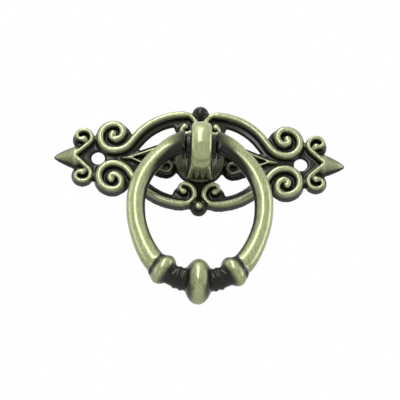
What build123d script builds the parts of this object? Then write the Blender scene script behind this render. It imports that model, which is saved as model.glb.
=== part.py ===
from build123d import *
import os
from math import acos, asin, atan2, cos, degrees, hypot, pi, radians, sin, sqrt

# Drop-ring cabinet pull: a pierced scrollwork back plate, a post with an eye, and a hanging ring.
# Millimetres. The plan of the plate is drawn in x (along the plate) and y (up it), with z standing out
# of the drawer front. At the end everything is turned so that +Z is up and the back face lies on Y = 0.

# Plate: fixing and thicknesses
screw_spacing = 58.0
screw_hole_diameter = 3.8
countersink_diameter = 4.4
web_thickness = 1.2
ridge_height = 3.3
edge_bevel = 0.4
skirt_width = 1.0
ledge_width = 2.9
ridge_shoulder = (0.78, 0.72)
ridge_crest = 0.38
field_reach = 3.0
field_lap = 2.0

# Large volutes: how far each sits inboard of its screw, how low its crest runs, its shrinking turns
volute_inset = 4.4
volute_low = 2.1
volute_turns = (3.95, 2.25, 0.9)
volute_disc_radius = 5.3

# Arches between the volutes and the middle
arch_crest = 13.75
arch_start = 4.35
arch_slope_share = 0.86
tail_radius = 5.4
arch_widths = (1.5, 1.3)
turn_widths = (1.2, 1.05, 0.85)
outer_width = 1.6
inner_outer_width = 1.2
last_turn = radians(150)
eye_radius = 1.0
eye_bevel = 0.475

# Small volutes beside the middle
small_turns = (3.0, 1.15)
small_last_turn = radians(175)
small_disc_radius = 3.2
bridge_rise = 1.1

# End scrolls outboard of the screws and the spear point beyond them
end_offset = 4.3
end_rise = 5.6
end_turns = (2.3, 1.35)
end_last_turn = radians(165)
end_disc_radius = 3.2
end_width = 0.95
point_offset = 6.9
tip_offset = 12.8
spear_half_width = 3.4
spear_nose = (0.55, 1.3)
notch_depth = 0.4
notch_lean = (1.6, 2.0)

# Leaf panel in the middle: its narrow ridges start at a point and curl in beside the post
leaf_point_inset = 6.6
leaf_stem_length = 2.3
lobe_x = 9.5
lobe_y = 2.5
lobe_turn = 1.6
lobe_disc_radius = 3.0
lobe_sweep = radians(215)
leaf_width = 0.85
leaf_start_share = 0.5
leaf_height = 2.7
leaf_tip_height = 2.0
leaf_band = (1.2, 1.6)

# Teardrop beads at the top and bottom
bead_radius = 2.45
bead_y = 14.45
bead_axis_height = 1.0
bead_tail = 3.2

# Post
pivot_height = 12.0
post_width = 5.9
post_eye_radius = 7.0
post_rounding = 0.9
foot_radius = 7.0
foot_rim = 0.8
foot_slope = 0.15
seat_margin = 0.4
foot_neck_radius = 2.6
foot_height = 6.5
lug_half_height = 5.9
flare_half_width = 3.75
flare_height = 11.0
flare_sink = 0.05
flute_radius = 1.1
flute_depth = 0.3
flute_spacing = 1.75
collar_radius = 3.5
collar_length = 1.3
spigot_radius = 2.4
spigot_clearance = 0.05
tail_head_radius = 3.4
tail_head_depth = 0.7
tail_recess = 0.1

# Ring
pin_radius = 1.5
pin_clearance = 0.05
pin_gap = 1.2
pin_root = 1.2
side_gap = 0.35
bar_radius = 2.35
hub_radius = 4.5
hub_waist_radius = 3.1
hub_waist_reach = 2.4
hub_waist_rise = 0.55
hub_reach = 6.4
ring_half_width = 17.95
ring_widest_drop = 18.0
ring_drop = 40.7
ring_top_radius = 20.0
ring_taper = 1.75
middle_bead = (6.4, 4.0)
side_bead = (4.5, 3.0)
side_bead_offset = 9.75
neck_bar_radius = 2.95
collar_step = 0.45
collar_half_length = 0.75
collar_offsets = (4.3, 5.8)

half_spacing = screw_spacing / 2
volute_x = half_spacing - volute_inset
end_x = half_spacing + end_offset
point_x = half_spacing + point_offset
tip_x = half_spacing + tip_offset
leaf_x = half_spacing - leaf_point_inset
fork_x = leaf_x - leaf_stem_length
hub_face = post_width / 2 + collar_length + side_gap
standing = (Align.CENTER, Align.CENTER, Align.MIN)


def run_points(start, heading, runs):
    """A chain of tangent runs: (radius, turn) for an arc, turning left when positive, or (0, length)."""
    x, y = start
    placed = []
    for radius, amount in runs:
        placed.append((x, y, heading, radius, amount))
        x, y, heading = along((x, y, heading, radius, amount), 1)
    return placed


def along(run, share):
    """The point and heading at a share of a run's length."""
    x, y, heading, radius, amount = run
    if radius == 0:
        return x + share * amount * cos(heading), y + share * amount * sin(heading), heading
    side = 1 if amount > 0 else -1
    centre_x, centre_y = run_centre(run)
    heading += share * amount
    return centre_x + side * radius * sin(heading), centre_y - side * radius * cos(heading), heading


def run_centre(run):
    x, y, heading, radius, amount = run
    side = 1 if amount > 0 else -1
    return x - side * radius * sin(heading), y + side * radius * cos(heading)


def tangent_run(point, centre, radius, side):
    """Heading and length of the straight run from a point that touches a circle, left or right of it."""
    dx = centre[0] - point[0]
    dy = centre[1] - point[1]
    distance = hypot(dx, dy)
    return atan2(dy, dx) + side * asin(radius / distance), sqrt(distance ** 2 - radius ** 2)


def section_plane(x, y, heading):
    across = (-sin(heading), cos(heading), 0)
    return Plane(origin=(x, y, 0), x_dir=across, z_dir=(cos(heading), sin(heading), 0))


def ridge_section(left, right, height):
    """A raised ridge with sloped flanks and a bevelled crest, standing on the back plane."""
    shoulder, rise = ridge_shoulder
    return make_face(Polyline(
        (left, 0), (shoulder * left, rise * height), (ridge_crest * left, height),
        (-ridge_crest * right, height), (-shoulder * right, rise * height), (-right, 0), close=True,
    ))


def band_section(left, right, height):
    """A flat band with bevelled upper edges, for the web under a ridge."""
    return make_face(Polyline(
        (left, 0), (left, height - edge_bevel), (left - edge_bevel, height),
        (edge_bevel - right, height), (-right, height - edge_bevel), (-right, 0), close=True,
    ))


def swept_run(run, section, end_section=None):
    """One run of a chain: turned about its centre when it is an arc, drawn straight otherwise."""
    x, y, heading, radius, amount = run
    start = section_plane(x, y, heading) * section
    if radius == 0:
        finish = section_plane(*along(run, 1)) * (end_section or section)
        return loft([start, finish], ruled=True)
    centre_x, centre_y = run_centre(run)
    axis = Axis((centre_x, centre_y, 0), (0, 0, 1 if amount > 0 else -1))
    return revolve(start, axis, degrees(abs(amount)))


def eye(run, height):
    """The bevelled bead in which a scroll ends."""
    x, y, heading = along(run, 1)
    return bevelled_disc(x, y, eye_radius, height, eye_bevel)


def bevelled_disc(x, y, radius, height=web_thickness, bevel=edge_bevel):
    profile = make_face(Polyline(
        (0, 0), (radius, 0), (radius, height - bevel), (radius - bevel, height), (0, height), close=True,
    ))
    return Pos(x, y, 0) * revolve(Plane.XZ * profile, Axis.Z)


def scroll_runs():
    """The long S scroll, from the top of the arch out to the eye of the large volute."""
    reach = volute_x - arch_start
    fall = arch_crest - volute_low
    slope = arch_slope_share * 2 * atan2(fall, reach)
    both_radii = (reach * sin(slope) - fall * cos(slope)) / (1 - cos(slope))
    straight = (fall * sin(slope) - reach * (1 - cos(slope))) / (1 - cos(slope))
    first, second, third = volute_turns
    return run_points((arch_start, arch_crest), 0, [
        (both_radii - tail_radius, -slope), (0, straight), (tail_radius, slope),
        (first, pi), (second, pi), (third, last_turn),
    ])


def scroll():
    arch, straight, tail, first, second, third = scroll_runs()
    outer, middle, inner = turn_widths
    wide = ridge_section(*arch_widths, ridge_height)
    narrow = ridge_section(outer, outer_width, ridge_height)
    band = band_section(skirt_width, ledge_width, web_thickness)
    return [
        swept_run(arch, band),
        swept_run(straight, band),
        swept_run(tail, band),
        swept_run(arch, wide),
        swept_run(straight, wide, narrow),
        swept_run(tail, narrow),
        swept_run(first, narrow),
        swept_run(second, ridge_section(middle, outer_width, ridge_height)),
        swept_run(third, ridge_section(inner, inner_outer_width, ridge_height)),
        eye(third, ridge_height),
    ]


def small_volute():
    """The inner end of the arch, curling in beside the centre line."""
    first, second = small_turns
    runs = run_points((arch_start, arch_crest), pi, [(first, pi), (second, small_last_turn)])
    outer, middle, inner = turn_widths
    return [
        bevelled_disc(arch_start, arch_crest - first, small_disc_radius),
        swept_run(runs[0], ridge_section(middle, outer, ridge_height)),
        swept_run(runs[1], ridge_section(inner, inner, ridge_height)),
        eye(runs[1], ridge_height),
    ]


def bridge():
    """The web that joins the small volutes to each other and to the bead at the edge."""
    top = arch_crest + bridge_rise
    low = arch_crest - 2 * small_turns[0]
    outline = Polyline(
        (-arch_start, low), (0, foot_radius - seat_margin), (arch_start, low), (arch_start, arch_crest),
        (bead_radius, top), (-bead_radius, top), (-arch_start, arch_crest), close=True,
    )
    return extrude(make_face(outline), web_thickness)


def end_scroll():
    """From the point of the V outboard of the screw, round to a small volute."""
    first, second = end_turns
    heading, length = tangent_run((point_x, 0), (end_x, end_rise), first, 1)
    runs = run_points((point_x, 0), heading, [(0, length), (first, -pi), (second, -end_last_turn)])
    ridge = ridge_section(end_width, end_width, ridge_height)
    return [
        bevelled_disc(end_x, end_rise, end_disc_radius),
        swept_run(runs[0], ridge),
        swept_run(runs[1], ridge),
        swept_run(runs[2], ridge_section(turn_widths[2], turn_widths[2], ridge_height)),
        eye(runs[2], ridge_height),
    ]


def leaf_ridge():
    """A narrow ridge from the leaf's fork to the lobe beside the post."""
    heading, length = tangent_run((fork_x, 0), (lobe_x, lobe_y), lobe_turn, -1)
    runs = run_points((fork_x, 0), heading, [(0, length), (lobe_turn, lobe_sweep)])
    slim_width = leaf_start_share * leaf_width
    slim = ridge_section(slim_width, slim_width, leaf_height)
    full = ridge_section(leaf_width, leaf_width, leaf_height)
    band = band_section(*leaf_band, web_thickness)
    x, y, heading = along(runs[1], 1)
    return [
        bevelled_disc(lobe_x, lobe_y, lobe_disc_radius),
        swept_run(runs[0], slim, full),
        swept_run(runs[0], band),
        swept_run(runs[1], full),
        Pos(x, y, 0) * Cylinder(leaf_width, leaf_height, align=standing),
    ]


def leaf_stem():
    """The tapered ridge from the leaf's fork to its point."""
    stem, = run_points((fork_x, 0), 0, [(0, leaf_x - fork_x)])
    slim_width = leaf_start_share * leaf_width
    full = ridge_section(leaf_width, leaf_width, leaf_height)
    return swept_run(stem, full, ridge_section(slim_width, slim_width, leaf_tip_height))


def field():
    """The flat web round the screw, between the volutes, the V and the leaf's point."""
    upper = [
        (volute_x - field_lap, volute_low + field_lap), (volute_x, volute_low + volute_turns[0]), (end_x, end_rise),
    ]
    lower = [(x, -y) for x, y in reversed(upper)]
    outline = Polyline((leaf_x - field_reach, 0), *upper, (point_x, 0), *lower, close=True)
    return extrude(make_face(outline), web_thickness)


def spear():
    """The spear point: a half-round leaf, widest at the V, that narrows to a point."""
    nose = (tip_x - spear_nose[0], spear_nose[1])
    profile = make_face([
        Line((end_x, 0), (end_x, spear_half_width)),
        Line((end_x, spear_half_width), (point_x, spear_half_width)),
        Bezier((point_x, spear_half_width), nose, (tip_x, 0)),
        Line((tip_x, 0), (end_x, 0)),
    ])
    lean_x = end_x - notch_lean[0]
    lean_y = end_rise - notch_lean[1]
    notch = make_face(Polyline(
        (point_x - notch_depth, 0), (lean_x, lean_y), (0, lean_y), (0, -lean_y), (lean_x, -lean_y), close=True,
    ))
    return in_front(revolve(profile, Axis.X)) - extrude(notch, 2 * ridge_height)


def teardrop():
    """A round bead with a tail that points to the middle of the plate."""
    turn = asin(bead_radius / bead_tail)
    point = (0, bead_y - bead_tail)
    touch = (bead_radius * cos(turn), bead_y - bead_radius * sin(turn))
    top = (0, bead_y + bead_radius)
    profile = make_face([
        Line(point, touch),
        ThreePointArc(touch, (bead_radius, bead_y), top),
        Line(top, point),
    ])
    return in_front(Pos(0, 0, bead_axis_height) * revolve(profile, Axis.Y))


def screw_hole():
    """A through hole with a countersink, and room above it for the screw's head."""
    hole_radius = screw_hole_diameter / 2
    rim_radius = countersink_diameter / 2
    sink = rim_radius - hole_radius
    profile = make_face(Polyline(
        (0, -web_thickness), (hole_radius, -web_thickness), (hole_radius, web_thickness - sink),
        (rim_radius, web_thickness), (rim_radius, 2 * ridge_height), (0, 2 * ridge_height), close=True,
    ))
    return Pos(half_spacing, 0, 0) * revolve(Plane.XZ * profile, Axis.Z)


def post_socket():
    """The seat of the post's foot, the hole for its spigot and the flare for the riveted tail."""
    hole_radius = spigot_radius + spigot_clearance
    seat_radius = foot_radius + spigot_clearance
    profile = make_face(Polyline(
        (0, 0), (tail_head_radius, 0), (hole_radius, tail_head_depth), (hole_radius, web_thickness),
        (seat_radius, web_thickness), (seat_radius, 2 * ridge_height), (0, 2 * ridge_height), close=True,
    ))
    return revolve(Plane.XZ * profile, Axis.Z)


def fused(pieces):
    whole = pieces[0]
    for piece in pieces[1:]:
        whole += piece
    return whole


def in_front(solid):
    """What stands in front of the back face."""
    return solid & Box(4 * tip_x, 4 * tip_x, 4 * ridge_height, align=standing)


def back_plate():
    """One branch of scrolls is mirrored to make a wing, and the wing to make the plate."""
    volute_disc = bevelled_disc(volute_x, volute_low + volute_turns[0], volute_disc_radius)
    branch = fused(scroll() + [volute_disc] + small_volute() + end_scroll() + leaf_ridge())
    wing = fused([branch, mirror(branch, Plane.XZ), field(), leaf_stem(), spear()]) - screw_hole()
    middle = fused([bevelled_disc(0, 0, foot_radius + seat_margin), bridge(), teardrop()])
    plate = fused([wing, middle, mirror(wing, Plane.YZ), mirror(middle, Plane.XZ)])
    return plate - post_socket()


def lug_flare():
    """A block as wide as the lug at the top that spreads towards the plate in hollow curves."""
    waist = post_width / 2 - flare_sink
    profile = make_face([
        Line((-flare_half_width, web_thickness), (flare_half_width, web_thickness)),
        TangentArc((waist, flare_height), (flare_half_width, web_thickness), tangent=(0, -1)),
        Line((waist, flare_height), (-waist, flare_height)),
        TangentArc((-waist, flare_height), (-flare_half_width, web_thickness), tangent=(0, -1)),
    ])
    return extrude(Plane.XZ * profile, 2 * post_eye_radius, both=True)


def lug_flute(offset):
    """A shallow flute up the lower side of the lug, fading out below the eye."""
    rise = pivot_height - web_thickness
    lean = post_eye_radius - lug_half_height
    length = hypot(rise, lean)
    away = flute_radius - flute_depth
    start = (offset, -lug_half_height - away * rise / length, web_thickness - away * lean / length)
    up = Plane(origin=start, x_dir=(1, 0, 0), z_dir=(0, -lean / length, rise / length))
    return up * Cone(flute_radius, away, length, align=standing)


def ring_post():
    """A rounded lug on a flared round foot, with a collar on each side and a spigot riveted at the back."""
    lug = make_face([
        Line((-lug_half_height, web_thickness), (lug_half_height, web_thickness)),
        Line((lug_half_height, web_thickness), (post_eye_radius, pivot_height)),
        ThreePointArc(
            (post_eye_radius, pivot_height), (0, pivot_height + post_eye_radius), (-post_eye_radius, pivot_height)),
        Line((-post_eye_radius, pivot_height), (-lug_half_height, web_thickness)),
    ])
    post = extrude(Plane.YZ * lug, post_width / 2, both=True)
    post = fillet(post.faces().sort_by(Axis.X)[0].edges() + post.faces().sort_by(Axis.X)[-1].edges(), post_rounding)
    post += extrude(Plane.YZ * lug, flare_half_width, both=True) & lug_flare()
    for offset in (-flute_spacing, 0, flute_spacing):
        post -= lug_flute(offset)
        post -= mirror(lug_flute(offset), Plane.XZ)
    rim_top = web_thickness + foot_rim
    foot = make_face([
        Line((0, web_thickness), (foot_radius, web_thickness)),
        Line((foot_radius, web_thickness), (foot_radius, rim_top)),
        TangentArc((foot_radius, rim_top), (foot_neck_radius, foot_height), tangent=(-1, foot_slope)),
        Line((foot_neck_radius, foot_height), (0, foot_height)),
        Line((0, foot_height), (0, web_thickness)),
    ])
    spigot_length = web_thickness - tail_recess + foot_rim / 2
    spigot = Pos(0, 0, tail_recess) * Cylinder(spigot_radius, spigot_length, align=standing)
    head_depth = tail_head_depth - tail_recess - spigot_clearance
    head_radius = spigot_radius + (tail_head_radius - spigot_radius) * head_depth / tail_head_depth
    tail_head = Pos(0, 0, tail_recess) * Cone(
        head_radius - spigot_clearance, spigot_radius, head_depth, align=standing)
    post = post + revolve(Plane.XZ * foot, Axis.Z) + spigot + tail_head
    post += Pos(0, 0, pivot_height) * Rot(0, 90, 0) * Cylinder(collar_radius, post_width + 2 * collar_length)
    bore = Cylinder(pin_radius + pin_clearance, 2 * hub_face)
    return post - Pos(0, 0, pivot_height) * Rot(0, 90, 0) * bore


def turned_bead(radius, half_length):
    """An oblate bead about its own Z axis."""
    profile = make_face([
        EllipticalCenterArc((0, 0), radius, half_length, -90, arc_size=180),
        Line((0, half_length), (0, -half_length)),
    ])
    return revolve(Plane.XZ * profile, Axis.Z)


def neck_collar():
    """A thin collar with sloped sides about its own Z axis."""
    root = neck_bar_radius - collar_step
    radius = neck_bar_radius + collar_step
    crest = collar_half_length / 3
    profile = make_face(Polyline(
        (0, -collar_half_length), (root, -collar_half_length), (radius, -crest),
        (radius, crest), (root, collar_half_length), (0, collar_half_length), close=True,
    ))
    return revolve(Plane.XZ * profile, Axis.Z)


def bar_plane(centre, radius, angle):
    """The plane square to an arc in the plan, at an angle measured from +x."""
    return Plane(
        origin=(centre[0] + radius * cos(angle), centre[1] + radius * sin(angle), 0),
        x_dir=(cos(angle), sin(angle), 0),
        z_dir=(-sin(angle), cos(angle), 0),
    )


def bar_arc(centre, radius, start_angle, end_angle, thickness=bar_radius):
    """A length of round bar along an arc in the plan."""
    start = bar_plane(centre, radius, start_angle) * Circle(thickness)
    return revolve(start, Axis((centre[0], centre[1], 0), (0, 0, 1)), degrees(end_angle - start_angle))


def pull_ring():
    """The ring, hanging from two stub pins, drawn with its pivot at the origin."""
    top_centre = (ring_half_width - ring_top_radius, -ring_widest_drop)
    bottom_radius = ring_half_width - ring_taper
    bottom_centre = (0, bottom_radius - ring_drop)
    drop = top_centre[1] - bottom_centre[1]
    side_centre_x = (drop ** 2 - ring_taper ** 2) / (2 * ring_taper)
    side_radius = ring_half_width + side_centre_x
    joint = atan2(drop, side_centre_x)
    hub_end_angle = acos((hub_face + hub_reach - top_centre[0]) / ring_top_radius)
    hub_waist_angle = acos((hub_face + hub_waist_reach - top_centre[0]) / ring_top_radius)
    side_bead_angle = asin(side_bead_offset / bottom_radius) - pi / 2
    side = bar_arc(top_centre, ring_top_radius, 0, hub_end_angle)
    side += bar_arc((-side_centre_x, top_centre[1]), side_radius, -joint, 0)
    side += bar_arc(bottom_centre, bottom_radius, side_bead_angle, -joint)

    def on_bottom(offset, solid):
        angle = asin(offset / bottom_radius)
        place = Plane(
            origin=(offset, bottom_centre[1] - bottom_radius * cos(angle), 0),
            x_dir=(0, 0, 1), z_dir=(cos(angle), sin(angle), 0),
        )
        return place * solid

    side += on_bottom(side_bead_offset, turned_bead(*side_bead))
    hub_waist = bar_plane(top_centre, ring_top_radius, hub_waist_angle)
    hub_waist.origin = (hub_waist.origin.X, hub_waist_rise * hub_waist.origin.Y, 0)
    side += loft([
        Plane(origin=(hub_face, 0, 0), x_dir=(0, 1, 0), z_dir=(-1, 0, 0)) * Circle(hub_radius),
        hub_waist * Circle(hub_waist_radius),
        bar_plane(top_centre, ring_top_radius, hub_end_angle) * Circle(bar_radius),
    ])
    pin_length = hub_face + pin_root - pin_gap / 2
    side += Pos(pin_gap / 2, 0, 0) * Rot(0, 90, 0) * Cylinder(
        pin_radius, pin_length, align=standing)
    neck = bar_arc(bottom_centre, bottom_radius, -pi - side_bead_angle, side_bead_angle, neck_bar_radius)
    neck += on_bottom(0, turned_bead(*middle_bead))
    for offset in collar_offsets:
        neck += on_bottom(offset, neck_collar())
        neck += on_bottom(-offset, neck_collar())
    return neck + side + mirror(side, Plane.YZ)


os.makedirs("parts", exist_ok=True)
pieces = {
    "back_plate": back_plate(),
    "ring_post": ring_post(),
    "pull_ring": Pos(0, 0, pivot_height) * pull_ring(),
}
for name, shape in pieces.items():
    export_step(Plane.XZ * shape, f"parts/{name}.step")
    print(name, len(shape.solids()), "solid", round(shape.volume), "cubic millimetres")
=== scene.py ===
# %% [markdown]
# # A drop-ring cabinet pull in rubbed bronze
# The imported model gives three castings: a pierced scrollwork plate, the post that carries the hinge, and
# the hanging ring. This lesson gives each of them the soft edges of a casting, then a finish that is dark
# in the hollows and rubbed bright on the high places, and lights them like a small product photo.

# %% Load the castings
import math

import bpy
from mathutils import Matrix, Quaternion, Vector


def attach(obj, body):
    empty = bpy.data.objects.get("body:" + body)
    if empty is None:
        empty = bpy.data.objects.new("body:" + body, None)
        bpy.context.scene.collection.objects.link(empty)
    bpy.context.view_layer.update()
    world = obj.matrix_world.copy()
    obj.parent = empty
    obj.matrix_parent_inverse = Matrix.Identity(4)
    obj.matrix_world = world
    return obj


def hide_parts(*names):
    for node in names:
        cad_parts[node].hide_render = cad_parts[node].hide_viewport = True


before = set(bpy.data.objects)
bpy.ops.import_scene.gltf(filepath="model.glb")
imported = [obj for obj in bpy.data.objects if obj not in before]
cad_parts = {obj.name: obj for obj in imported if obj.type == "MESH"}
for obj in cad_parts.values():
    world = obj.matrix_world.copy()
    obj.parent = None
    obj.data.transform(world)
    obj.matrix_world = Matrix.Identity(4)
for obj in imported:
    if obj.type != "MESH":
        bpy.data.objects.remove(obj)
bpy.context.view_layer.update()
scene = bpy.context.scene
scene.view_settings.view_transform = "Standard"
millimetre = 0.001
print("castings:", sorted(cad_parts))

# %% [markdown]
# ## Helpers
# Colours are written as they look on a screen and turned into linear light once, here. One small function
# adds a node, sets its plain settings, fills its sockets and links what is given as another node's socket.
# Most of this lesson asks how far a value has come between two limits, so a second function chains such
# grades: three of them multiplied say where the front of the lug is.

# %% Colour and node helpers
maths_node, range_node, vector_node = "ShaderNodeMath", "ShaderNodeMapRange", "ShaderNodeVectorMath"


def colour(hex_code):
    """An sRGB hex colour as linear red, green, blue and alpha."""
    channels = [int(hex_code[i:i + 2], 16) / 255 for i in (1, 3, 5)]
    return [c / 12.92 if c <= 0.04045 else ((c + 0.055) / 1.055) ** 2.4 for c in channels] + [1.0]


def node(tree, kind, *values, inputs=None, **settings):
    """Adds a node and gives its outputs. Values fill its sockets in order, and inputs by name or number."""
    made = tree.nodes.new(kind)
    for name, value in settings.items():
        setattr(made, name, value)
    for key, value in [*enumerate(values), *(inputs or {}).items()]:
        if isinstance(value, bpy.types.NodeSocket):
            tree.links.new(value, made.inputs[key])
        else:
            made.inputs[key].default_value = value
    return made.outputs


def graded(tree, *grades, curve="SMOOTHSTEP"):
    """A share from 0 to 1. Each grade is a value, its limit for 0 and its limit for 1; all are multiplied."""
    share = 1.0
    for value, none_at, all_at in grades:
        grade = node(tree, range_node, value, none_at, all_at, interpolation_type=curve)[0]
        share = node(tree, maths_node, grade, share, operation="MULTIPLY")[0]
    return share


print("mid grey reads as", [round(c, 3) for c in colour("#808080")])

# %% [markdown]
# ## The finish
# Rubbed bronze is one dark bath all over, then a buff that takes the dark off again wherever the wheel can
# reach. Each casting carries four numbers for every point, measured further down: `edge`, how far it stands
# out from its neighbours, and `front`, `side` and `outward`, how much it faces the front, a side, and away
# from the middle of the casting. A rule for each casting turns them and the place into a rubbed share
# between 0 and 1. A painted mask would do too, but a rule follows the shape if a size changes.
# Some rules also put painted light into the share: painted shade, a painted highlight or a painted sheen,
# each said where it is made.

# %% Places in millimetres


def measures(tree, place):
    """Millimetres to the right, away from the middle, out of the drawer front, and up."""
    scaled = node(tree, vector_node, place, inputs={"Scale": 1 / millimetre}, operation="SCALE")[0]
    x, y, z = node(tree, "ShaderNodeSeparateXYZ", scaled)
    from_middle = node(tree, maths_node, x, operation="ABSOLUTE")[0]
    height = node(tree, maths_node, y, -1.0, operation="MULTIPLY")[0]
    return x, from_middle, height, z


# %% [markdown]
# ## Where the plate is rubbed, with painted shadow and a painted highlight
# The wheel takes the crests of the scrolls and the fronts of the two spears; the spears darken towards their
# edges, partly from wear and partly as painted shade of their rounding. It can't reach the field between them
# or the bead at the top. The leaves behind the post get a painted shadow of the post, and the bead at the
# bottom gets a painted highlight on its crown.

# %% Rule for the plate
web_height, crest_height = 1.0, 3.3
spear_start = 35.6
bead_level, bead_radius = 14.45, 2.45
share_in_post_shadow = 0.3


def plate_rub_and_light(tree, place):
    """The crests of the scrolls and the fronts of the spears, a painted highlight on the lower bead's crown
    and a painted shadow beside the post; the rest stays dark.
    """
    x, from_middle, height, z = measures(tree, place)
    from_level = node(tree, maths_node, z, operation="ABSOLUTE")[0]
    front = node(tree, "ShaderNodeAttribute", attribute_name="front")["Fac"]
    crest = graded(tree, (height, web_height, crest_height), (front, 0.1, 0.97), curve="LINEAR")
    # the spears darken towards their edges: partly wear, partly painted shade of their rounding
    blade = graded(tree, (front, 0.55, 1.05), curve="LINEAR")
    spear = graded(tree, (from_middle, spear_start, spear_start + 0.8))
    rub_and_light = node(tree, "ShaderNodeMix", inputs={"Factor": spear, 2: crest, 3: blade})[0]

    past_bead = node(tree, maths_node, from_level, bead_level, operation="SUBTRACT")[0]
    from_bead = node(tree, "ShaderNodeCombineXYZ", x, past_bead)[0]
    from_bead = node(tree, vector_node, from_bead, operation="LENGTH")["Value"]
    off_bead = graded(tree, (from_bead, bead_radius, bead_radius + 0.4))
    # painted highlight: a bare spot on the crown of the lower bead
    crown = graded(tree, (front, 0.85, 1.0), (z, 0.0, -1.0))
    clear = node(tree, maths_node, off_bead, crown, operation="MAXIMUM")[0]

    # painted shadow of the post on the leaves around it
    aside = graded(tree, (from_middle, 11.0, 15.0))
    above = graded(tree, (from_level, 5.5, 7.0))
    open_field = node(tree, maths_node, aside, above, operation="MAXIMUM")[0]
    shade_factor = node(tree, range_node, open_field, 0.0, 1.0, share_in_post_shadow, 1.0)[0]
    for share in (clear, shade_factor):
        rub_and_light = node(tree, maths_node, rub_and_light, share, operation="MULTIPLY")[0]
    return rub_and_light


print("plate: dark below", web_height, "mm, bare at", crest_height, "mm")

# %% [markdown]
# ## Where the post is rubbed, with painted shade and a painted sheen
# The lug is what a hand and the wheel both meet, so its front and its ends are bare; painted shade darkens it
# towards the plate. Its sides face the ring's hubs and stay dark, and so do the collars. The flared foot gets
# a little of the bare colour as a painted sheen for the light its dark faces reflect.

# %% Rule for the post
foot_sheen_share = 0.2
share_in_lug_base_shade = 0.6


def post_rub_and_light(tree, place):
    """The front and the ends of the lug, darker towards the plate as painted shade; its sides and the collars
    stay dark, and the foot carries a faint painted sheen.
    """
    x, from_middle, height, z = measures(tree, place)
    side = node(tree, "ShaderNodeAttribute", attribute_name="side")["Fac"]
    lug = graded(tree, (side, 0.99, 0.8), (from_middle, 4.1, 3.6), (height, 1.7, 2.5))
    within_lug = graded(tree, (from_middle, 3.3, 3.0))
    below_collar = graded(tree, (height, 8.0, 7.0))
    off_collar = node(tree, maths_node, within_lug, below_collar, operation="MAXIMUM")[0]
    # painted shade: the lug darkens towards the plate
    shade_factor = node(tree, range_node, graded(tree, (height, 1.0, 9.0)), 0.0, 1.0, share_in_lug_base_shade, 1.0)[0]
    for share in (off_collar, shade_factor):
        lug = node(tree, maths_node, lug, share, operation="MULTIPLY")[0]
    # painted sheen on the dark foot, standing in for its reflections
    foot = graded(tree, (from_middle, 3.7, 4.2), (height, 6.0, 5.0))
    return node(tree, maths_node, foot, foot_sheen_share, lug, operation="MULTIPLY_ADD")[0]


print("post: the foot keeps", foot_sheen_share, "of the rub")

# %% [markdown]
# ## Where the ring is rubbed, with painted shade
# The ring is bare on the front and the outside of its bar and on the waists of its three beads. The necks
# between the beads stay dark. The inside of the bar is dark, partly patina and partly painted shade, and
# painted shade of the post darkens the hubs and the upper arms. The side beads sit askew, so the rule
# measures along their own axis. The same measure later finds the bar, whose shape needs a small change.

# %% Rule for the ring
side_bead_middle = (9.75, -37.44)
side_bead_lean = math.radians(37.0)
bead_axis = (math.cos(side_bead_lean), math.sin(side_bead_lean))
side_bead_along = side_bead_middle[0] * bead_axis[0] + side_bead_middle[1] * bead_axis[1]
shade_under_arms = 0.45


def along_ring(tree, place):
    """The way from the middle, the height, the share away from the hubs, and the way past a side bead."""
    x, from_middle, height, z = measures(tree, place)
    aside = graded(tree, (from_middle, 3.5, 13.0))
    below = graded(tree, (z, -8.0, -14.0))
    away_from_hub = node(tree, maths_node, aside, below, operation="MAXIMUM")[0]
    past_bead = node(tree, maths_node, z, bead_axis[1], -side_bead_along, operation="MULTIPLY_ADD")[0]
    past_bead = node(tree, maths_node, from_middle, bead_axis[0], past_bead, operation="MULTIPLY_ADD")[0]
    return from_middle, z, away_from_hub, past_bead


def ring_rub_and_light(tree, place):
    """The front and the outside of the bar and of the beads; the necks stay dark, the inside is dark from
    patina and painted shade, and painted shade darkens the hubs and the upper arms.
    """
    from_middle, z, away_from_hub, past_bead = along_ring(tree, place)
    outward = node(tree, "ShaderNodeAttribute", attribute_name="outward")["Fac"]
    # painted shade on the upper arms, most on their insides
    arm = graded(tree, (z, -13.0, -3.0))
    outward = node(tree, maths_node, arm, -shade_under_arms, outward, operation="MULTIPLY_ADD")[0]
    from_bead = node(tree, maths_node, past_bead, operation="ABSOLUTE")[0]
    clear = graded(tree, (from_bead, 2.4, 0.2))
    for other in (graded(tree, (past_bead, 2.4, 3.6)), graded(tree, (from_middle, 3.1, 0.3))):
        clear = node(tree, maths_node, clear, other, operation="MAXIMUM")[0]
    # the inside of the bar stays dark: patina, and painted shade
    rub_and_light = graded(tree, (outward, -0.95, -0.1))
    # painted shade of the post: the bar darkens towards the hubs
    for share in (away_from_hub, clear):
        rub_and_light = node(tree, maths_node, rub_and_light, share, operation="MULTIPLY")[0]
    return rub_and_light


print("ring: a side bead's middle is", round(side_bead_along, 2), "mm along its axis")

# %% [markdown]
# ## The metal
# The real thing is zinc alloy plated with bronze, darkened, buffed and lacquered. To the eye that is an
# olive metal with a broad soft shine, near-black where the buff didn't reach, under one thin clear coat.
# Noise breaks the border between rubbed and dark, and short strokes along the buffing vary the bare tone.
# Real strokes and grit are finer than a pixel, so both are drawn several times coarser, enough to show.

# %% Material
patch_size, grit_size = 3.85 * millimetre, 0.53 * millimetre
stroke_width, stroke_length = 0.3 * millimetre, 2.4 * millimetre
groove_depth = 0.12
patch_strength, grit_strength = 0.6, 0.12
wear_per_edge = 1.5
metal_share = 0.42


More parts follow.
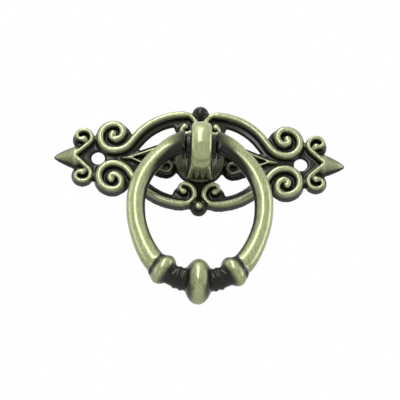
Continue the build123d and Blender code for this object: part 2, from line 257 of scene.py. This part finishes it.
def rubbed_bronze(name, rule, bare, shade, dark="#1A1B11"):
    """Bronze that is dark where the rule gives 0 and bare where it gives 1."""
    material = bpy.data.materials.new(name)
    material.use_nodes = True
    tree = material.node_tree
    tree.nodes.clear()
    place = node(tree, "ShaderNodeTexCoord")["Object"]
    edge = node(tree, "ShaderNodeAttribute", attribute_name="edge")["Fac"]
    patches, grit = [
        node(tree, "ShaderNodeTexNoise", inputs={"Vector": place, "Scale": 1 / size, "Detail": detail})["Fac"]
        for size, detail in ((patch_size, 4.0), (grit_size, 3.0))]
    per_stroke = (1 / stroke_width, 1 / stroke_width, 1 / stroke_length)
    stretched = node(tree, "ShaderNodeMapping", inputs={"Vector": place, "Scale": per_stroke})[0]
    strokes = node(tree, "ShaderNodeTexNoise",
                   inputs={"Vector": stretched, "Scale": 1.0, "Detail": 2.0})["Fac"]

    out_of_grooves = graded(tree, (edge, -groove_depth, 0.0))
    share = node(tree, maths_node, rule(tree, place), out_of_grooves, operation="MULTIPLY")[0]
    middling = -(patch_strength + grit_strength) / 2
    broken = node(tree, maths_node, patches, patch_strength, middling, operation="MULTIPLY_ADD")[0]
    broken = node(tree, maths_node, grit, grit_strength, broken, operation="MULTIPLY_ADD")[0]
    worn = node(tree, maths_node, edge, wear_per_edge, broken, operation="MULTIPLY_ADD")[0]
    at_all = graded(tree, (share, 0.0, 0.4))
    rub_and_light = node(tree, maths_node, worn, at_all, share, operation="MULTIPLY_ADD")[0]
    rub_and_light = graded(tree, (rub_and_light, 0.05, 0.95), curve="LINEAR")

    streak = graded(tree, (strokes, 0.3, 0.7))
    metal = node(tree, "ShaderNodeMix", inputs={"Factor": streak, 6: colour(shade), 7: colour(bare)},
                 data_type="RGBA")[2]
    paint = node(tree, "ShaderNodeMix", inputs={"Factor": rub_and_light, 6: colour(dark), 7: metal},
                 data_type="RGBA")[2]
    grain = {"Strength": 0.03, "Distance": 0.05 * millimetre, "Height": grit}
    bronze = node(tree, "ShaderNodeBsdfPrincipled", inputs={
        "Base Color": paint,
        "Metallic": node(tree, maths_node, rub_and_light, metal_share, operation="MULTIPLY")[0],
        "Roughness": node(tree, range_node, grit, 0.0, 1.0, 0.24, 0.32)[0],
        "Specular IOR Level": 0.1,
        "Normal": node(tree, "ShaderNodeBump", inputs=grain)[0],
        "Coat Weight": node(tree, range_node, rub_and_light, 0.0, 1.0, 0.25, 0.4)[0],
        "Coat Roughness": 0.08,
    })[0]
    node(tree, "ShaderNodeOutputMaterial", inputs={"Surface": bronze})
    return material


finishes = {
    "back_plate": rubbed_bronze("plate bronze", plate_rub_and_light, bare="#AAAF89", shade="#8F926C"),
    "ring_post": rubbed_bronze("post bronze", post_rub_and_light, bare="#ACB385", shade="#90956A"),
    "pull_ring": rubbed_bronze("ring bronze", ring_rub_and_light, bare="#A9B084", shade="#8E9367"),
}
print("finishes:", [m.name for m in finishes.values()])

# %% [markdown]
# ## Small changes of shape
# Three forms of the real pull are softer or fuller than the solids. The front of the lug is rounded across
# its width, its lower and upper sides have deeper flutes, and the bar of the ring is stouter, most of all
# where it runs into the side beads. Each is written as an offset for every point, so that one group can
# add them to any casting, and an amount of 0 leaves the casting as it is.

# %% Offsets for the lug
flute_spacing = 1.75


def crown_offset(tree, place, given):
    """Towards the pivot and more so near the sides, for a lug that is rounded across its width."""
    from_pivot = node(tree, vector_node, place, given["Middle"], operation="SUBTRACT")[0]
    from_pivot = node(tree, vector_node, from_pivot, (0, 1, 1), operation="MULTIPLY")[0]
    across = node(tree, vector_node, place, (1, 0, 0), operation="DOT_PRODUCT")["Value"]
    radius = node(tree, vector_node, from_pivot, operation="LENGTH")["Value"]
    height = node(tree, vector_node, place, (0, -1, 0), operation="DOT_PRODUCT")["Value"]
    across, radius, height = [
        node(tree, maths_node, length, given["Half Width"], operation="DIVIDE")[0]
        for length in (across, radius, height)]
    fall = node(tree, maths_node, across, across, operation="MULTIPLY", use_clamp=True)[0]
    for share in (given["Crown"], graded(tree, (radius, 1.6, 2.0), (height, 1.0, 2.0)), -1.0):
        fall = node(tree, maths_node, fall, share, operation="MULTIPLY")[0]
    outwards = node(tree, vector_node, from_pivot, operation="NORMALIZE")[0]
    return node(tree, vector_node, outwards, inputs={"Scale": fall}, operation="SCALE")[0]


def flute_offset(tree, place, normal, given):
    """Inwards in even waves on the upper and lower sides of the lug, for deeper flutes."""
    x, from_middle, height, z = measures(tree, place)
    turn = node(tree, maths_node, x, 2 * math.pi / flute_spacing, operation="MULTIPLY")[0]
    wave = node(tree, maths_node, turn, operation="COSINE")[0]
    hollow = node(tree, range_node, wave, -1.0, 1.0)[0]
    facing = node(tree, vector_node, normal, (0, 0, 1), operation="DOT_PRODUCT")["Value"]
    facing = node(tree, maths_node, facing, operation="ABSOLUTE")[0]
    on_lug = graded(tree, (facing, 0.4, 0.8), (from_middle, 3.1, 2.4), (height, 12.0, 9.0))
    for share in (on_lug, given["Flute"], -1.0):
        hollow = node(tree, maths_node, hollow, share, operation="MULTIPLY")[0]
    return node(tree, vector_node, normal, inputs={"Scale": hollow}, operation="SCALE")[0]


print("flutes every", flute_spacing, "mm")

# %% Offset for the ring
stoutest_at_bead = 2.5


def swell_offset(tree, place, normal, given):
    """Outwards on the bar of the ring, rising towards the side beads."""
    from_middle, z, away_from_hub, past_bead = along_ring(tree, place)
    near_bead = graded(tree, (past_bead, 13.0, 3.0), curve="LINEAR")
    swell = node(tree, range_node, near_bead, 0.0, 1.0, 1.0, stoutest_at_bead)[0]
    for share in (away_from_hub, graded(tree, (past_bead, 1.4, 2.6)), given["Swell"]):
        swell = node(tree, maths_node, swell, share, operation="MULTIPLY")[0]
    return node(tree, vector_node, normal, inputs={"Scale": swell}, operation="SCALE")[0]


print("the bar swells", stoutest_at_bead, "times as much beside the beads")

# %% [markdown]
# ## Soft edges and the four numbers
# A casting has no sharp edges. A voxel remesh gives an even skin, and a few passes of blur on the position
# round its corners, which a bevel could not do on scrollwork with so many short edges. Blurring the place
# further shows how each point sits among its neighbours: the distance from the blurred place, along the
# normal, is positive on a ridge and negative in a groove.

# %% Geometry Nodes group


def casting_group():
    """A group that rounds a skin, adds the offsets, stores the four numbers and gives it its finish."""
    tree = bpy.data.node_groups.new("soft casting", "GeometryNodeTree")
    kinds = {"Geometry": "Geometry", "Rounding": "Int", "Edge Blur": "Int", "Middle": "Vector",
             "Crown": "Float", "Half Width": "Float", "Swell": "Float", "Flute": "Float",
             "Finish": "Material"}
    sockets = {}
    for name, kind in kinds.items():
        made = tree.interface.new_socket(name, in_out="INPUT", socket_type="NodeSocket" + kind)
        sockets[name] = made.identifier
    tree.interface.new_socket("Geometry", in_out="OUTPUT", socket_type="NodeSocketGeometry")
    given = node(tree, "NodeGroupInput")
    place = node(tree, "GeometryNodeInputPosition")[0]
    normal = node(tree, "GeometryNodeInputNormal")[0]
    rounded, smoothed = [
        node(tree, "GeometryNodeBlurAttribute", inputs={"Value": place, "Iterations": given[passes]},
             data_type="FLOAT_VECTOR")[0] for passes in ("Rounding", "Edge Blur")]

    skin = node(tree, "GeometryNodeSetPosition",
                inputs={"Geometry": given["Geometry"], "Position": rounded})[0]
    for offset in (crown_offset(tree, place, given), swell_offset(tree, place, normal, given),
                   flute_offset(tree, place, normal, given)):
        skin = node(tree, "GeometryNodeSetPosition", inputs={"Geometry": skin, "Offset": offset})[0]

    lift = node(tree, vector_node, place, smoothed, operation="SUBTRACT")[0]
    from_middle = node(tree, vector_node, place, given["Middle"], operation="SUBTRACT")[0]
    from_middle = node(tree, vector_node, from_middle, operation="NORMALIZE")[0]
    edge, front, side, outward = [
        node(tree, vector_node, normal, direction, operation="DOT_PRODUCT")["Value"]
        for direction in (lift, (0, -1, 0), (1, 0, 0), from_middle)]
    edge = node(tree, maths_node, edge, millimetre, operation="DIVIDE")[0]
    side = node(tree, maths_node, side, operation="ABSOLUTE")[0]
    for name, value in (("edge", edge), ("front", front), ("side", side), ("outward", outward)):
        skin = node(tree, "GeometryNodeStoreNamedAttribute",
                    inputs={"Geometry": skin, "Name": name, "Value": value})[0]
    skin = node(tree, "GeometryNodeSetShadeSmooth", inputs={"Geometry": skin})[0]
    skin = node(tree, "GeometryNodeRealizeInstances", inputs={"Geometry": skin})[0]
    skin = node(tree, "GeometryNodeSetMaterial", inputs={"Geometry": skin, "Material": given["Finish"]})[0]
    node(tree, "NodeGroupOutput", inputs={"Geometry": skin})
    return tree, sockets


soft_casting, sockets = casting_group()
print("group inputs:", list(sockets))

# %% [markdown]
# ## The pieces
# Each casting is copied, joined into one skin, remeshed and sent through the group; the result is a plain
# mesh that stands for the CAD piece and moves with the same body. The plate has the largest surface and
# gets the coarsest skin, which still leaves several cells across its narrowest ridge.

# %% Make the castings
weld_distance = 0.002 * millimetre


def cast(name, body, slot, skin_size, **amounts):
    """The finished piece for one CAD node. skin_size is the edge of a skin cell."""
    working = bpy.data.objects.new(name + " working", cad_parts[name].data.copy())
    scene.collection.objects.link(working)
    weld = working.modifiers.new("weld", "WELD")
    weld.merge_threshold = weld_distance
    remesh = working.modifiers.new("skin", "REMESH")
    remesh.mode = "VOXEL"
    remesh.voxel_size = skin_size
    soft = working.modifiers.new("soft", "NODES")
    soft.node_group = soft_casting
    amounts = {"half_width": 1.0, "finish": finishes[name], **amounts}
    for key, value in amounts.items():
        soft[sockets[key.replace("_", " ").title()]] = value
    drawn = working.evaluated_get(bpy.context.evaluated_depsgraph_get())
    mesh = bpy.data.meshes.new_from_object(drawn)
    bpy.data.objects.remove(working)
    piece = bpy.data.objects.new(name + "_casting", mesh)
    scene.collection.objects.link(piece)
    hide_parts(name)
    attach(piece, body)
    print(name, len(mesh.polygons), "faces")
    return piece


pivot = (0, -12.0 * millimetre, 0)
ring_middle = (0, -12.0 * millimetre, -18.0 * millimetre)
cast("back_plate", "plate", "plate_bronze", 0.26 * millimetre, rounding=3, edge_blur=12)
cast("ring_post", "plate", "post_bronze", 0.15 * millimetre, rounding=5, edge_blur=24, middle=pivot,
     half_width=2.95 * millimetre, crown=0.8 * millimetre, flute=0.13 * millimetre)
cast("pull_ring", "ring", "ring_bronze", 0.2 * millimetre, rounding=14, edge_blur=14, middle=ring_middle,
     swell=0.33 * millimetre)

# %% [markdown]
# ## Floor and room
# The pull hangs as it does on a drawer, high over a pale floor. The room is white for the camera and for
# the metal that mirrors it, but gives less light than it shows, so that the dark bath stays dark. The
# floor is wide enough to reach the horizon in every view.

# %% Stage


def shown(tree, as_light, as_seen):
    """One strength for the light that falls on things, another for what the camera and the metal see."""
    path = node(tree, "ShaderNodeLightPath")
    seen = path["Is Camera Ray"]
    for ray in ("Is Glossy Ray", "Is Transmission Ray"):
        seen = node(tree, maths_node, seen, path[ray], operation="MAXIMUM")[0]
    return node(tree, range_node, seen, 0.0, 1.0, as_light, as_seen)[0]


floor_mesh = bpy.data.meshes.new("floor")
half_floor, floor_height = 30.0, -0.45
floor_mesh.from_pydata(
    [(x * half_floor, y * half_floor, floor_height) for x, y in ((-1, -1), (1, -1), (1, 1), (-1, 1))],
    [], [(0, 1, 2, 3)])
floor = bpy.data.objects.new("floor", floor_mesh)
floor_paint = bpy.data.materials.new("floor")
floor_paint.use_nodes = True
tree = floor_paint.node_tree
tree.nodes.clear()
pale = node(tree, "ShaderNodeBsdfPrincipled", inputs={
    "Base Color": colour("#F2F2F0"), "Roughness": 0.8,
    "Emission Color": colour("#F2F2F0"), "Emission Strength": shown(tree, 0.0, 0.5)})[0]
node(tree, "ShaderNodeOutputMaterial", inputs={"Surface": pale})
floor_mesh.materials.append(floor_paint)
scene.collection.objects.link(floor)

world = bpy.data.worlds.new("white room")
world.use_nodes = True
scene.world = world
tree = world.node_tree
tree.nodes.clear()
sky = node(tree, "ShaderNodeBackground", inputs={"Color": (1, 1, 1, 1), "Strength": shown(tree, 0.3, 1.0)})[0]
node(tree, "ShaderNodeOutputWorld", inputs={"Surface": sky})
print("floor", 2 * half_floor, "m wide, room:", world.name)

# %% [markdown]
# ## Light
# A tall narrow soft light stands in front and a little to the left. It draws the long streaks down the lug,
# the bar and the beads, and the flat field of the plate mirrors a place beside it and stays dark. One
# weaker light hangs above, and one on each side fills the flanks of the scrolls.

# %% Lights


def soft_light(name, place, width, height, power):
    """A rectangle of light that faces the middle of the plate."""
    lamp = bpy.data.lights.new(name, "AREA")
    lamp.shape = "RECTANGLE"
    lamp.size = width
    lamp.size_y = height
    lamp.energy = power
    made = bpy.data.objects.new(name, lamp)
    made.location = place
    made.rotation_euler = (-Vector(place)).to_track_quat("-Z", "Y").to_euler()
    scene.collection.objects.link(made)
    return made


lights = [
    soft_light("key", (-0.1, -0.52, 0.33), width=0.13, height=0.78, power=3.2),
    soft_light("top", (-0.1, -0.25, 0.6), width=0.4, height=0.4, power=0.8),
    soft_light("left", (-0.6, -0.1, 0.1), width=0.25, height=0.6, power=1.0),
    soft_light("right", (0.6, -0.1, 0.1), width=0.25, height=0.6, power=1.7),
]
print("lights:", [light.name for light in lights])

# %% [markdown]
# ## Camera
# A long lens looks up at the pull by 22 degrees and hardly from the left, tilted a little. The picture is
# as wide as the lens sees at the distance of the plate, and it is centred below the plate, because the ring
# hangs there.

# %% Camera
distance, picture_width = 0.7, 114.6 * millimetre
azimuth, elevation, roll = math.radians(-1.8), math.radians(-22.0), math.radians(1.2)
middle_right, middle_up = 0.16 * millimetre, -10.7 * millimetre
camera_data = bpy.data.cameras.new("camera")
camera_data.sensor_width = 36.0
camera_data.lens = camera_data.sensor_width * distance / picture_width
camera = bpy.data.objects.new("camera", camera_data)
level = math.cos(elevation)
back = Vector((math.sin(azimuth) * level, -math.cos(azimuth) * level, math.sin(elevation)))
turn = (-back).to_track_quat("-Z", "Y") @ Quaternion((0, 0, 1), roll)
camera.rotation_mode = "QUATERNION"
camera.rotation_quaternion = turn
camera.location = back * distance + turn @ Vector((middle_right, middle_up, 0))
scene.collection.objects.link(camera)
scene.camera = camera
print("lens", round(camera_data.lens, 1), "mm")
